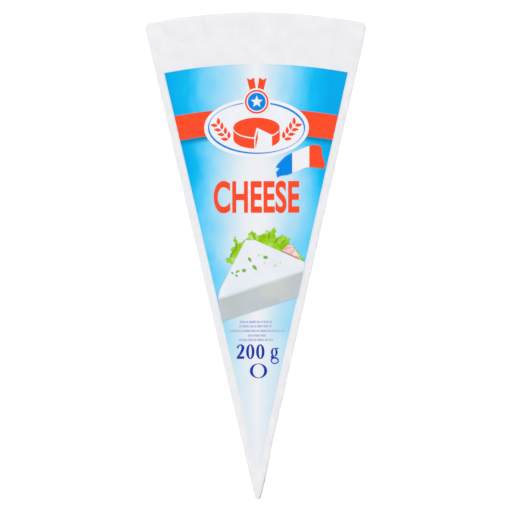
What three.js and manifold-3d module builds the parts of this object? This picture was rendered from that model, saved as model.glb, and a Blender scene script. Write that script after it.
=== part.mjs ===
// A 200 g point of brie in its folded paper wrapper, lying on its underside.
// Millimetres, +Z up. +Y runs from the thin tip to the curved heel, and the origin is the middle of the
// underside. Four pieces: the cheese, the one sheet of paper folded round it, the label stuck on top, and
// the label underneath that holds the folds shut.
import * as THREE from "three";
import { mergeVertices } from "three/addons/utils/BufferGeometryUtils.js";
import Module from "manifold-3d";

// The cheese, a slice of a wheel
const CHEESE_LENGTH = 167; // from the tip to the middle of the heel
const CHEESE_THICKNESS = 30;
const HALF_ANGLE = THREE.MathUtils.degToRad(12.95); // between the long axis and each cut face
const HEEL_RADIUS = 189; // of the wheel's rim
const RIM_ROUNDING = 4; // of the rim's upper and lower edges
const HEEL_CORNER_RADIUS = 1; // where a cut face meets the rim
const TIP_RADIUS = 0.4;

// The wrapper
const PAPER = 0.2; // coated paper as folded, with its film lining
const WRAP_SLACK = 0.3; // between the cheese and the paper, all round
const FOLD_RADIUS = 0.3; // inside of the folds along the top and the underside
const LAP_GAP = 0.1; // between the two flaps where they lap under the cheese
const LAP_HALF_ANGLE = THREE.MathUtils.degToRad(4); // from the long axis to each flap's free edge

// Both labels
const LABEL_PAPER = 0.1;
const GLUE = 0.02;

// The front label, on the top face
const FRONT_SIDE_MARGIN = 2.8; // plain wrapper left showing along each long side
const FRONT_HEEL_MARGIN = 17.7; // and at the heel

// The back label, on the underside
const BACK_SIDE_MARGIN = 9;
const BACK_HEEL_MARGIN = 14;
const BACK_LENGTH = 62; // from its curved end to its straight one

// Facets
const TIP_STEPS = 6;
const CORNER_STEPS = 5;
const HEEL_STEPS = 16;
const FOLD_STEPS = 3;
const RIM_STEPS = 6;
const WHEEL_STEPS = 240;
const CUTTER_REACH = 400; // how far a cutting shape runs past the part
const CUTTER_DEPTH = 1; // how far it runs below the part

// Heights, from the underside up
const RIGHT_FLAP_Z = LABEL_PAPER + GLUE; // underside of the outer, right flap
const LEFT_FLAP_Z = RIGHT_FLAP_Z + PAPER + LAP_GAP; // underside of the inner, left flap
const CAVITY_FLOOR_Z = LEFT_FLAP_Z + PAPER;
const CHEESE_Z = CAVITY_FLOOR_Z + WRAP_SLACK;
const CAVITY_TOP_Z = CHEESE_Z + CHEESE_THICKNESS + WRAP_SLACK;
const WRAPPER_TOP_Z = CAVITY_TOP_Z + PAPER;
const WRAPPER_OFFSET = WRAP_SLACK + PAPER; // from the cheese to the outside of the paper

// Plan view: the centres that every outline round the wedge shares, so that they stay parallel
const TIP_CENTRE = new THREE.Vector2(0, -CHEESE_LENGTH / 2 + TIP_RADIUS);
const HEEL_CENTRE = new THREE.Vector2(0, CHEESE_LENGTH / 2 - HEEL_RADIUS);
const SIDE_NORMAL = new THREE.Vector2(Math.cos(HALF_ANGLE), -Math.sin(HALF_ANGLE));
const SIDE_DIRECTION = new THREE.Vector2(Math.sin(HALF_ANGLE), Math.cos(HALF_ANGLE));

// Where a line that is parallel to the right side, and that far from the tip's centre, meets a circle of
// that radius round the heel's centre.
function onHeelCircle(outwards, radius) {
  const start = TIP_CENTRE.clone().addScaledVector(SIDE_NORMAL, outwards);
  const toStart = start.clone().sub(HEEL_CENTRE);
  const along = toStart.dot(SIDE_DIRECTION);
  const distance = -along + Math.sqrt(along * along - toStart.lengthSq() + radius * radius);
  return start.addScaledVector(SIDE_DIRECTION, distance);
}

const CORNER_CENTRE = onHeelCircle(TIP_RADIUS - HEEL_CORNER_RADIUS, HEEL_RADIUS - HEEL_CORNER_RADIUS);

function arcPoints(centre, radius, fromAngle, toAngle, steps) {
  return Array.from({ length: steps + 1 }, (_, i) => {
    const angle = THREE.MathUtils.lerp(fromAngle, toAngle, i / steps);
    return new THREE.Vector2(centre.x + radius * Math.cos(angle), centre.y + radius * Math.sin(angle));
  });
}

// The wedge's outline, that far outside the cheese, anticlockwise from the left of the tip.
function wedgeOutline(offset) {
  const cornerAngle = Math.atan2(CORNER_CENTRE.y - HEEL_CENTRE.y, CORNER_CENTRE.x);
  const leftCorner = new THREE.Vector2(-CORNER_CENTRE.x, CORNER_CENTRE.y);
  const cornerRadius = HEEL_CORNER_RADIUS + offset;
  const heelRadius = HEEL_RADIUS + offset;
  const heel = arcPoints(HEEL_CENTRE, heelRadius, cornerAngle, Math.PI - cornerAngle, HEEL_STEPS);
  return [
    ...arcPoints(TIP_CENTRE, TIP_RADIUS + offset, -Math.PI + HALF_ANGLE, -HALF_ANGLE, TIP_STEPS),
    ...arcPoints(CORNER_CENTRE, cornerRadius, -HALF_ANGLE, cornerAngle, CORNER_STEPS),
    ...heel.slice(1, -1),
    ...arcPoints(leftCorner, cornerRadius, Math.PI - cornerAngle, Math.PI + HALF_ANGLE, CORNER_STEPS),
  ];
}

// A label's outline: its sides stay parallel to the wrapper's, and its far end follows the heel. Its near
// end comes to a point, or is cut straight across at that length from the far end.
function labelOutline(sideMargin, heelMargin, length = Infinity) {
  const outwards = TIP_RADIUS + WRAPPER_OFFSET - sideMargin;
  const radius = HEEL_RADIUS + WRAPPER_OFFSET - heelMargin;
  const corner = onHeelCircle(outwards, radius);
  const cornerAngle = Math.atan2(corner.y - HEEL_CENTRE.y, corner.x);
  const point = new THREE.Vector2(0, TIP_CENTRE.y - outwards / Math.sin(HALF_ANGLE));
  const cutY = HEEL_CENTRE.y + radius - length;
  const halfWidth = (cutY - point.y) * Math.tan(HALF_ANGLE);
  const nearEnd = [new THREE.Vector2(-halfWidth, cutY), new THREE.Vector2(halfWidth, cutY)];
  return [
    ...(halfWidth > 0 ? nearEnd : [point]),
    ...arcPoints(HEEL_CENTRE, radius, cornerAngle, Math.PI - cornerAngle, HEEL_STEPS),
  ];
}

// An upright solid over an outline, from one height to another, its edges rounded by foldRadius.
function standing(outline, fromZ, toZ, foldRadius = 0) {
  const geometry = new THREE.ExtrudeGeometry(new THREE.Shape(outline), {
    depth: toZ - fromZ - 2 * foldRadius,
    bevelEnabled: foldRadius > 0,
    bevelThickness: foldRadius,
    bevelSize: foldRadius,
    bevelOffset: -foldRadius,
    bevelSegments: FOLD_STEPS,
  });
  return geometry.translate(0, 0, fromZ + foldRadius);
}

// The wheel of cheese that the wedge is cut from: flat faces and a rounded rim.
function wheel() {
  const lowerRim = new THREE.Vector2(HEEL_RADIUS - RIM_ROUNDING, RIM_ROUNDING);
  const upperRim = new THREE.Vector2(HEEL_RADIUS - RIM_ROUNDING, CHEESE_THICKNESS - RIM_ROUNDING);
  const profile = [
    new THREE.Vector2(0, 0),
    ...arcPoints(lowerRim, RIM_ROUNDING, -Math.PI / 2, 0, RIM_STEPS),
    ...arcPoints(upperRim, RIM_ROUNDING, 0, Math.PI / 2, RIM_STEPS),
    new THREE.Vector2(0, CHEESE_THICKNESS),
  ];
  return new THREE.LatheGeometry(profile, WHEEL_STEPS)
    .rotateX(Math.PI / 2)
    .translate(0, HEEL_CENTRE.y, CHEESE_Z);
}

const wasm = await Module();
wasm.setup();

function solidOf(geometry) {
  const bare = (geometry.index ? geometry.toNonIndexed() : geometry.clone()).deleteAttribute("normal");
  bare.deleteAttribute("uv");
  const merged = mergeVertices(bare, 1e-4);
  return new wasm.Manifold(
    new wasm.Mesh({
      numProp: 3,
      vertProperties: merged.attributes.position.array,
      triVerts: new Uint32Array(merged.index.array),
    }),
  );
}

function geometryOf(solid) {
  const mesh = solid.getMesh();
  const geometry = new THREE.BufferGeometry()
    .setAttribute("position", new THREE.BufferAttribute(mesh.vertProperties, 3))
    .setIndex(new THREE.BufferAttribute(mesh.triVerts, 1));
  geometry.computeVertexNormals();
  return geometry;
}

function cheeseGeometry() {
  const cut = standing(wedgeOutline(0), CHEESE_Z - CUTTER_DEPTH, CHEESE_Z + CHEESE_THICKNESS + CUTTER_DEPTH);
  return geometryOf(solidOf(wheel()).intersect(solidOf(cut)));
}

// All that lies on one side of a flap's free edge, which runs from the tip at LAP_HALF_ANGLE to the long
// axis: side is 1 for everything right of the line, and -1 for everything left of it.
function besideFreeEdge(angle, side, fromZ, toZ) {
  const end = new THREE.Vector2(CUTTER_REACH * Math.tan(angle), TIP_CENTRE.y + CUTTER_REACH);
  const outline = [
    new THREE.Vector2(TIP_CENTRE.x, TIP_CENTRE.y - CUTTER_REACH),
    TIP_CENTRE,
    end,
    new THREE.Vector2(side * CUTTER_REACH, end.y),
    new THREE.Vector2(side * CUTTER_REACH, TIP_CENTRE.y - CUTTER_REACH),
  ];
  return solidOf(standing(side < 0 ? outline : outline.reverse(), fromZ, toZ));
}

// The paper: a hollow wedge whose underside is two flaps. The right one is outside and ends left of the
// middle, the left one lies on top of it and ends right of the middle, so the wrapper is open between them.
function wrapperGeometry() {
  const inRightFlapZ = RIGHT_FLAP_Z + PAPER;
  const outside = solidOf(
    standing(wedgeOutline(WRAPPER_OFFSET), RIGHT_FLAP_Z, WRAPPER_TOP_Z, FOLD_RADIUS + PAPER),
  );
  const cavity = solidOf(standing(wedgeOutline(WRAP_SLACK), CAVITY_FLOOR_Z, CAVITY_TOP_Z, FOLD_RADIUS));
  const underCavity = solidOf(
    standing(wedgeOutline(WRAP_SLACK), inRightFlapZ, CAVITY_FLOOR_Z + FOLD_RADIUS),
  );
  const belowLeftFlap = besideFreeEdge(-LAP_HALF_ANGLE, -1, RIGHT_FLAP_Z - CUTTER_DEPTH, LEFT_FLAP_Z);
  const betweenFlaps = underCavity.intersect(
    solidOf(standing(wedgeOutline(CUTTER_DEPTH), inRightFlapZ, LEFT_FLAP_Z)),
  );
  const aboveRightFlap = underCavity.intersect(
    besideFreeEdge(LAP_HALF_ANGLE, 1, inRightFlapZ, CAVITY_FLOOR_Z + FOLD_RADIUS),
  );
  const opened = outside.subtract(cavity).subtract(betweenFlaps);
  return geometryOf(opened.subtract(aboveRightFlap).subtract(belowLeftFlap));
}

function frontLabelGeometry() {
  const fromZ = WRAPPER_TOP_Z + GLUE;
  return standing(labelOutline(FRONT_SIDE_MARGIN, FRONT_HEEL_MARGIN), fromZ, fromZ + LABEL_PAPER);
}

function backLabelGeometry() {
  return standing(labelOutline(BACK_SIDE_MARGIN, BACK_HEEL_MARGIN, BACK_LENGTH), 0, LABEL_PAPER);
}

const ivoryCheese = new THREE.MeshStandardMaterial({ color: "#f3eddb", roughness: 0.75, metalness: 0 });
const whitePaper = new THREE.MeshStandardMaterial({ color: "#efeef1", roughness: 0.5, metalness: 0 });
const bluePrint = new THREE.MeshStandardMaterial({ color: "#7fcdf2", roughness: 0.35, metalness: 0 });
const labelWhite = new THREE.MeshStandardMaterial({ color: "#f7f7f5", roughness: 0.45, metalness: 0 });

function piece(name, geometry, material) {
  const mesh = new THREE.Mesh(geometry, material);
  mesh.name = name;
  return mesh;
}

const wrappedBrie = new THREE.Group();
wrappedBrie.add(
  piece("cheese_wedge", cheeseGeometry(), ivoryCheese),
  piece("paper_wrapper", wrapperGeometry(), whitePaper),
  piece("front_label", frontLabelGeometry(), bluePrint),
  piece("back_label", backLabelGeometry(), labelWhite),
);

export default wrappedBrie;
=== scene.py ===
# %% [markdown]
# # A point of brie in its paper wrapper
# This lesson dresses a wrapped wedge of soft cheese. The frame already holds four solids: the cheese, the
# paper round it, and a label above and below. We keep the two labels and the cheese, because their shapes are
# right, and give them printed and mouldy finishes. The paper we fold again from one sheet, with real laps and
# tucks, because a plain shell never looks like paper.

# %% Load the frame
import math
import bmesh
import bpy
import numpy as np
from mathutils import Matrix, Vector, noise


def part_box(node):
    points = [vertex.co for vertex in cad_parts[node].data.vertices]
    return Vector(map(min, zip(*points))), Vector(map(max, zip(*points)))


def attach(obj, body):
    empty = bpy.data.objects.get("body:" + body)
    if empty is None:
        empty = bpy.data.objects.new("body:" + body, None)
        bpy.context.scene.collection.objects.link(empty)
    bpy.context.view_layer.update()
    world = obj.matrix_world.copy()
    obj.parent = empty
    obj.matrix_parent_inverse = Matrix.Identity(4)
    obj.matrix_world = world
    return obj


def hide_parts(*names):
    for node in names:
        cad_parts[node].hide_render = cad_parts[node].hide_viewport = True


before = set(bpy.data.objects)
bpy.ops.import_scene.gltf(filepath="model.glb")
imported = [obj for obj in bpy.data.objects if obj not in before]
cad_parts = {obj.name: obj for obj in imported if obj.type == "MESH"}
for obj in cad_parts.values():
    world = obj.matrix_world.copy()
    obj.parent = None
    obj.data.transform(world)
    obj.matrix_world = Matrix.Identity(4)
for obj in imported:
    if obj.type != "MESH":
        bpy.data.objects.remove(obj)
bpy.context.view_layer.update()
MM = 0.001

# %% [markdown]
# Lengths are in millimetres until the last moment, because that is how a packer thinks of them. Along the
# pack we count from the tip, as a printer would when laying out the label. The helpers turn that count into
# the frame's Y, and the frame's boxes give the heights.

# %% Shared measures and helpers
PACK_LOW, PACK_HIGH = [np.array(c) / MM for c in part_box("paper_wrapper")]
LABEL_LOW, LABEL_HIGH = [np.array(c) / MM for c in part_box("front_label")]
BACK_HIGH = np.array(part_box("back_label")[1]) / MM
TIP_Y = float(PACK_LOW[1])
HEEL_Y = float(PACK_HIGH[1])
HALF_ANGLE = math.radians(12.95)  # between the long axis and each side
HEEL_RADIUS = 189.5  # of the outside of the paper, round the cheese's rim
HEEL_CENTRE_Y = HEEL_Y - HEEL_RADIUS
LABEL_POINT_Y = float(LABEL_LOW[1])


def linear(hex_colour, alpha=1.0):
    """An sRGB hex colour as Blender's linear RGBA."""
    parts = [int(hex_colour[i:i + 2], 16) / 255 for i in (1, 3, 5)]
    return [p / 12.92 if p <= 0.04045 else ((p + 0.055) / 1.055) ** 2.4 for p in parts] + [alpha]


def deselect():
    bpy.ops.object.select_all(action="DESELECT")


def fill(tree, node, inputs):
    """Fills a node's inputs with values, with sockets, or with the first output of other nodes."""
    for key, value in inputs.items():
        if isinstance(value, bpy.types.Node):
            value = value.outputs[0]
        if isinstance(value, bpy.types.NodeSocket):
            tree.links.new(value, node.inputs[key])
        else:
            node.inputs[key].default_value = value
    return node


def add_node(tree, kind, inputs=None, **settings):
    """Adds a node with its settings and links."""
    made = tree.nodes.new(kind)
    for key, value in settings.items():
        setattr(made, key, value)
    return fill(tree, made, inputs or {})


def new_material(name):
    """A new material, its node tree and its shader."""
    material = bpy.data.materials.new(name)
    material.use_nodes = True
    tree = material.node_tree
    return material, tree, tree.nodes["Principled BSDF"]


def place_in_mm(tree):
    """Object coordinates counted in millimetres."""
    place = add_node(tree, "ShaderNodeTexCoord").outputs["Object"]
    scaled = add_node(tree, "ShaderNodeVectorMath", {0: place, "Scale": 1 / MM}, operation="SCALE")
    return scaled.outputs["Vector"]


def heel_distance(tree, place):
    """The distance from the upright line through the centre of the heel's curve."""
    flat_place = add_node(tree, "ShaderNodeVectorMath", {0: place, 1: (1, 1, 0)}, operation="MULTIPLY")
    return add_node(tree, "ShaderNodeVectorMath", {0: flat_place, 1: (0.0, HEEL_CENTRE_Y, 0.0)},
                    operation="DISTANCE").outputs["Value"]


def set_ramp(ramp_node, stops):
    """Gives a colour ramp its stops, pairs of a position and a hex colour or a grey level."""
    elements = ramp_node.color_ramp.elements
    while len(elements) > 1:
        elements.remove(elements[-1])
    for i, (position, colour) in enumerate(stops):
        element = elements[0] if i == 0 else elements.new(position)
        element.position = position
        element.color = linear(colour) if isinstance(colour, str) else [colour] * 3 + [1.0]
    return ramp_node


def dress(obj, material):
    """Gives an object its one material."""
    obj.data.materials.clear()
    obj.data.materials.append(material)


print("Length", round(HEEL_Y - TIP_Y, 2), "height", round(float(PACK_HIGH[2] - PACK_LOW[2]), 2))

# %% [markdown]
# ## Camera, light and floor
# We look at a flat pack from straight above, through a long lens, so that its sides don't show.
# Large soft lamps stand round the pack rather than over it. Light from overhead would bounce off the print
# straight into the lens and wash out the blue. The floor is a light table: it glows a little, so no grey
# shadow hides the pack's white edge.

# %% Camera
CAMERA_HEIGHT = 1400.0
VIEW_WIDTH = 177.0  # what the square frame spans at the height of the top face
VIEW_ROLL = math.radians(-0.22)
VIEW_SHIFT = -0.26  # sideways
SENSOR = 36.0
camera_data = bpy.data.cameras.new("camera")
camera_data.sensor_width = SENSOR
camera_data.lens = SENSOR * (CAMERA_HEIGHT - PACK_HIGH[2]) / VIEW_WIDTH
camera_data.clip_start = 0.01
camera = bpy.data.objects.new("camera", camera_data)
camera.location = (VIEW_SHIFT * MM, 0.0, CAMERA_HEIGHT * MM)
camera.rotation_euler = (0.0, 0.0, VIEW_ROLL)
bpy.context.scene.collection.objects.link(camera)
bpy.context.scene.camera = camera
print("Lens", round(camera_data.lens, 1), "mm")

# %% Lamps and surroundings
LAMP_DISTANCE = 1.1
LAMP_HEIGHT = 0.85
LAMP_SIZE = 0.8
LAMP_WATTS = {"left": 6.8, "right": 5.8, "heel_end": 6.5, "tip_end": 4.9}
LAMP_TURNS = {"left": 180, "right": 0, "heel_end": 90, "tip_end": -90}
for side, watts in LAMP_WATTS.items():
    turn = math.radians(LAMP_TURNS[side])
    deselect()
    bpy.ops.object.light_add(
        type="AREA",
        location=(LAMP_DISTANCE * math.cos(turn), LAMP_DISTANCE * math.sin(turn), LAMP_HEIGHT),
    )
    lamp = bpy.context.object
    lamp.name = "softbox_" + side
    lamp.data.shape = "SQUARE"
    lamp.data.size = LAMP_SIZE
    lamp.data.energy = watts
    lamp.rotation_euler = (-lamp.location).to_track_quat("-Z", "Y").to_euler()
world = bpy.context.scene.world or bpy.data.worlds.new("studio")
bpy.context.scene.world = world
world.use_nodes = True
world.node_tree.nodes["Background"].inputs["Color"].default_value = linear("#f4f6fa")
world.node_tree.nodes["Background"].inputs["Strength"].default_value = 0.30
bpy.context.scene.view_settings.view_transform = "Standard"
bpy.context.scene.view_settings.look = "None"
print(len(LAMP_WATTS), "softboxes")

# %% Floor
FLOOR_SIZE = 6.0
deselect()
bpy.ops.mesh.primitive_plane_add(size=FLOOR_SIZE, location=(0, 0, 0))
floor = bpy.context.object
floor.name = "light_table"
floor_material, tree, shader = new_material("opal_acrylic_light_table")
fill(tree, shader, {
    "Base Color": linear("#555555"), "Roughness": 0.9, "Specular IOR Level": 0.0,
    "Emission Color": linear("#ffffff"), "Emission Strength": 0.96})
dress(floor, floor_material)
print("Floor", FLOOR_SIZE, "m across")

# %% [markdown]
# ## The paper wrapper
# The real wrapper is one sheet of thin white paper with a film lining. A machine lays it over the cheese,
# folds it down both sides and laps it underneath. At the heel it folds in the side panels, turns the lower
# panel up and brings the upper panel down over both. At the tip the spare paper is nipped into a pleat and
# laid against one side. Cloth simulation would round all these folds off, and paper keeps them sharp, so the
# sheet is laid out by mesh code: first the plan lines that every layer follows, then one grid for each panel.

# %% Wrapper sizes
PAPER = 0.12  # thickness of the sheet
TIP_RADIUS = 0.9
CORNER_RADIUS = 1.5  # of the upright folds at the heel's two corners
FOLD_RADIUS = 0.75  # of the long folds round the top and the underside
LAP_HALF_ANGLE = math.radians(4)  # from the long axis to each flap's free edge underneath
LAP_RISE = 0.3  # the inner flap lies this much higher where the outer one covers it
LAP_RAMP = 4.0  # and comes down again over this width
STEP = 1.2  # usual distance between mesh rows
BOTTOM_Z = PACK_LOW[2]
TOP_Z = PACK_HIGH[2] - 0.02  # leaves the front label's underside clear

SIDE_OUT = np.array([math.cos(HALF_ANGLE), -math.sin(HALF_ANGLE)])
SIDE_ALONG = np.array([math.sin(HALF_ANGLE), math.cos(HALF_ANGLE)])
TIP_CENTRE = np.array([0.0, TIP_Y + TIP_RADIUS])
HEEL_CENTRE = np.array([0.0, HEEL_CENTRE_Y])


def along_side(outwards, radius):
    """Where a line beside the right side meets a circle of that radius round the heel's centre. outwards is
    how far the line lies from the tip's centre."""
    start = TIP_CENTRE + outwards * SIDE_OUT
    to_start = start - HEEL_CENTRE
    along = to_start @ SIDE_ALONG
    return start + (-along + math.sqrt(along ** 2 - to_start @ to_start + radius ** 2)) * SIDE_ALONG


CORNER_CENTRE = along_side(TIP_RADIUS - CORNER_RADIUS, HEEL_RADIUS - CORNER_RADIUS)
CORNER_ANGLE = math.atan2(CORNER_CENTRE[1] - HEEL_CENTRE[1], CORNER_CENTRE[0])
SIDE_LENGTH = (CORNER_CENTRE - TIP_CENTRE) @ SIDE_ALONG
HEEL_HALF_WIDTH = CORNER_CENTRE[0] + CORNER_RADIUS
ROWS = int(SIDE_LENGTH / STEP)
TIP_ROWS = 6
print("Side", round(SIDE_LENGTH, 1), "heel half width", round(HEEL_HALF_WIDTH, 2))


# %% Plan lines
def side_line(inset):
    """The right side in plan, from the middle of the tip to the heel corner, that far inside the outline."""
    turn = np.linspace(-math.pi / 2, -HALF_ANGLE, TIP_ROWS, endpoint=False)
    round_tip = TIP_CENTRE + (TIP_RADIUS - inset) * np.column_stack([np.cos(turn), np.sin(turn)])
    reach = np.linspace(0, SIDE_LENGTH, ROWS)[:, None]
    return np.vstack([round_tip, TIP_CENTRE + (TIP_RADIUS - inset) * SIDE_OUT + reach * SIDE_ALONG])


def heel_y(x, inset):
    """How far along the heel's edge lies at that distance from the axis, that far inside the outline."""
    x = np.abs(x)
    rim = np.sqrt((HEEL_RADIUS - inset) ** 2 - x ** 2)
    corner = np.sqrt(np.maximum((CORNER_RADIUS - inset) ** 2 - (x - CORNER_CENTRE[0]) ** 2, 0))
    on_rim = x <= (HEEL_RADIUS - inset) * math.cos(CORNER_ANGLE)
    return np.where(on_rim, HEEL_CENTRE[1] + rim, CORNER_CENTRE[1] + corner)


def smooth(x):
    x = np.clip(x, 0, 1)
    return x * x * (3 - 2 * x)


def corner_steps(count):
    """The angles inside a quarter fold, without its two ends."""
    return np.linspace(0, math.pi / 2, count + 2)[1:-1]


# %% The tube: top, sides and lapped flaps
FOLD_STEPS = 3
TOP_COLUMNS = 71
SIDE_COLUMNS = 24
FLAP_COLUMNS = 40
CROWDING = 0.4  # how much closer together the columns are near the sides, where the corners need them
inner_line = side_line(FOLD_RADIUS)
along = (inner_line[:, 1] - inner_line[0, 1]) / (inner_line[-1, 1] - inner_line[0, 1])


def flat_column(x, z):
    """One lengthwise line of the top or the underside, stretched to reach the heel's curved edge."""
    shift = heel_y(x[-1], FOLD_RADIUS) - inner_line[-1, 1]
    return np.column_stack([x, inner_line[:, 1] + along ** 2 * shift, np.broadcast_to(z, x.shape)])


def edge_column(sign, inset, z):
    """One lengthwise line round the tip and along a side, or on the fold above or below it."""
    line = side_line(inset)
    return np.column_stack([sign * line[:, 0], line[:, 1], np.full(len(line), z)])


def flap_columns(sign, rise):
    """An underside flap, from the side to its free edge past the middle."""
    lap = math.tan(LAP_HALF_ANGLE) * (inner_line[:, 1] - TIP_Y)
    width = inner_line[:, 0]
    found = []
    even = np.linspace(0, 1, FLAP_COLUMNS)
    for t in even * (1 - 2 * CROWDING + 2 * CROWDING * even):
        x = width + t * (-lap - width)
        ramp = np.minimum(LAP_RAMP, np.maximum(width - lap, 1e-3))
        lift = rise * smooth((lap + ramp - x) / ramp)
        found.append(flat_column(sign * x, BOTTOM_Z + lift))
    return found


def wall_columns(sign):
    """A side wall with the folds below and above it, from the underside up."""
    found = []
    for turn in corner_steps(FOLD_STEPS):
        inset = FOLD_RADIUS * (1 - math.sin(turn))
        found.append(edge_column(sign, inset, BOTTOM_Z + FOLD_RADIUS * (1 - math.cos(turn))))
    for z in np.linspace(BOTTOM_Z + FOLD_RADIUS, TOP_Z - FOLD_RADIUS, SIDE_COLUMNS):
        found.append(edge_column(sign, 0, z))
    for turn in corner_steps(FOLD_STEPS):
        inset = FOLD_RADIUS * (1 - math.cos(turn))
        found.append(edge_column(sign, inset, TOP_Z - FOLD_RADIUS * (1 - math.sin(turn))))
    return found


even = np.linspace(-1, 1, TOP_COLUMNS)
top_columns = [flat_column(t * inner_line[:, 0], TOP_Z) for t in even * (1 + CROWDING - CROWDING * even ** 2)]
left_wall = wall_columns(-1)
right_wall = wall_columns(1)
left_flap = flap_columns(-1, LAP_RISE)
right_flap = flap_columns(1, 0.0)
tube = np.stack(left_flap[::-1] + left_wall + top_columns + right_wall[::-1] + right_flap, axis=1)
print("Tube grid", tube.shape)

# %% [markdown]
# The heel is folded like a parcel. Each panel there carries on from an edge of the tube. A panel's slanted
# edges are folds, not cuts, so each has a lip that turns back under it and gives the fold its thickness.

# %% Heel panels
TUCK_REACH = 22.0  # how far each side panel is folded in across the heel
TUCK_STEPS = 14
TUCK_INSET = 0.3  # the side panels lie closest to the cheese
TUCK_SQUEEZE = 0.022  # and are that much less tall, so that they stay below the top
MID_Z = (BOTTOM_Z + TOP_Z) / 2
LOWER_REACH = 25.0  # height of the panel turned up from below
LOWER_OUT = {-1: -0.04, 1: 0.10}
UPPER_REACH = 27.5  # and of the one brought down over it
UPPER_OUT = (-0.02, 0.38)  # at the top, and where it covers the lower panel
UPPER_CLIMB = (5.0, 15.0)
FREE_EDGE_LIFT = 0.35  # its cut edge stands a little off
FREE_EDGE_START = 5.0  # from this far before the edge
FREE_EDGE_WIDTH = 4.0  # and fully this much further on
PANEL_STEP = 1.0
LIP = 3.5  # how far a slanted edge's lip goes back under
LIP_RADIUS = 0.125  # of the fold there, so that the sheet's two layers have room
LIP_START = 0.8  # the fold is fully round from here down
CORNER_STEPS = 5


def on_heel(x, out):
    """The plan place at that arc distance across the heel, that far out from its rounded outline."""
    across = (HEEL_RADIUS + out) * np.sin(x / HEEL_RADIUS)
    return across, heel_y(across, -out)


def side_tuck(sign, wall):
    """The side wall, with the corners of the top and the underside, carried round and in across the heel."""
    lines = []
    for column in wall:
        end = column[-1]
        from_corner = end[:2] * [sign, 1] - CORNER_CENTRE
        inset = CORNER_RADIUS - np.linalg.norm(from_corner)
        first_turn = math.atan2(from_corner[1], from_corner[0])
        turns = np.linspace(first_turn, CORNER_ANGLE, CORNER_STEPS + 1)[1:]
        places = [end[:2] * [sign, 1]]
        for step, turn in enumerate(turns):
            radius = CORNER_RADIUS - inset - TUCK_INSET * smooth((step + 1) / CORNER_STEPS)
            places.append(CORNER_CENTRE + radius * np.array([math.cos(turn), math.sin(turn)]))
        start = HEEL_RADIUS * (math.pi / 2 - CORNER_ANGLE)
        for x in np.linspace(start, start - TUCK_REACH, TUCK_STEPS + 1)[1:]:
            places.append(on_heel(x, -inset - TUCK_INSET))
        flat = np.array(places)
        z = end[2] + (MID_Z - end[2]) * TUCK_SQUEEZE * smooth(np.arange(len(flat)) / CORNER_STEPS)
        lines.append(np.column_stack([sign * flat[:, 0], flat[:, 1], z]))
    return np.stack(lines, axis=1)


def lip_columns(edge, out, towards, depth):
    """Three lines that turn an edge back under its own panel: out is the edge's distance from the heel."""
    room = np.minimum(LIP, 0.6 * np.maximum(depth, 0.02))
    found = []
    for shift, under in ((LIP_RADIUS, LIP_RADIUS), (0.0, 2 * LIP_RADIUS), (None, 2 * LIP_RADIUS)):
        inwards = -room if shift is None else np.minimum(shift, room)
        x, y = on_heel(edge + towards * inwards, out - under * smooth(depth / LIP_START))
        found.append(np.column_stack([x, y]))
    return found


def heel_panel(starts, z_start, z_way, reach, out_of, slants):
    """A panel folded over the heel's upper or lower edge, and the lips of its slanted edges. starts is the
    row of points where the tube ends. slants says which of the row's two ends are folds at 45 degrees."""
    turn = np.linspace(0, math.pi / 2, FOLD_STEPS + 2)[1:]
    steps = int(reach / PANEL_STEP)
    inset = np.concatenate([FOLD_RADIUS * (1 - np.sin(turn)), np.zeros(steps)])
    drop = np.concatenate([FOLD_RADIUS * (1 - np.cos(turn)),
                           FOLD_RADIUS + np.linspace(0, reach - FOLD_RADIUS, steps + 1)[1:]])
    across = HEEL_RADIUS * np.arcsin(starts[:, 0] / HEEL_RADIUS)
    first, last = across[0], across[-1]
    depth = np.maximum(drop - FOLD_RADIUS, 0)
    out = out_of(depth) * smooth(drop / (4 * FOLD_RADIUS)) - inset
    z = z_start + z_way * drop
    new_first = first + depth * slants[0] * np.sign(last - first)
    new_last = last - depth * slants[1] * np.sign(last - first)
    lines = []
    for start, t in zip(starts, (across - first) / (last - first)):
        x, y = on_heel(new_first + t * (new_last - new_first), out)
        lines.append(np.vstack([start, np.column_stack([x, y, z])]))
    grids = [np.stack(lines, axis=1)]
    for which, edge in ((0, new_first), (-1, new_last)):
        if slants[which]:
            lip = lip_columns(edge, out, np.sign(edge[0]), depth)
            strip = np.stack([lines[which][1:]] + [np.column_stack([line, z]) for line in lip], axis=1)
            grids.append(strip[FOLD_STEPS:, ::-1] if which == 0 else strip[FOLD_STEPS:])
    return grids


def upper_out(depth):
    low, high = UPPER_OUT
    climb = smooth((depth - UPPER_CLIMB[0]) / (UPPER_CLIMB[1] - UPPER_CLIMB[0]))
    lift = FREE_EDGE_LIFT * smooth((depth - UPPER_REACH + FREE_EDGE_START) / FREE_EDGE_WIDTH)
    return low + (high - low) * climb + lift


top_end = tube[-1, len(left_flap) + len(left_wall):][:TOP_COLUMNS]
upper_panel = heel_panel(top_end, TOP_Z, -1, UPPER_REACH, upper_out, (1, 1))
lower_panels = []
for sign, flap in ((-1, left_flap), (1, right_flap)):
    ends = np.array([column[-1] for column in flap])
    lower_panels.append(
        heel_panel(ends, BOTTOM_Z, 1, LOWER_REACH, lambda d, o=LOWER_OUT[sign]: o + 0 * d, (1, 0)))
tucks = [side_tuck(-1, left_flap[:1] + left_wall + top_columns[:1]),
         side_tuck(1, right_flap[:1] + right_wall + top_columns[-1:])]
print("Upper panel", upper_panel[0].shape, "lower", lower_panels[0][0].shape, "tucks", tucks[0].shape)

# %% [markdown]
# At the tip the spare paper makes a flat pleat, a narrow pocket laid back against the right side. Its upper
# edge slopes down from the tip's top corner, as a fold in a real paper point does.

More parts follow.
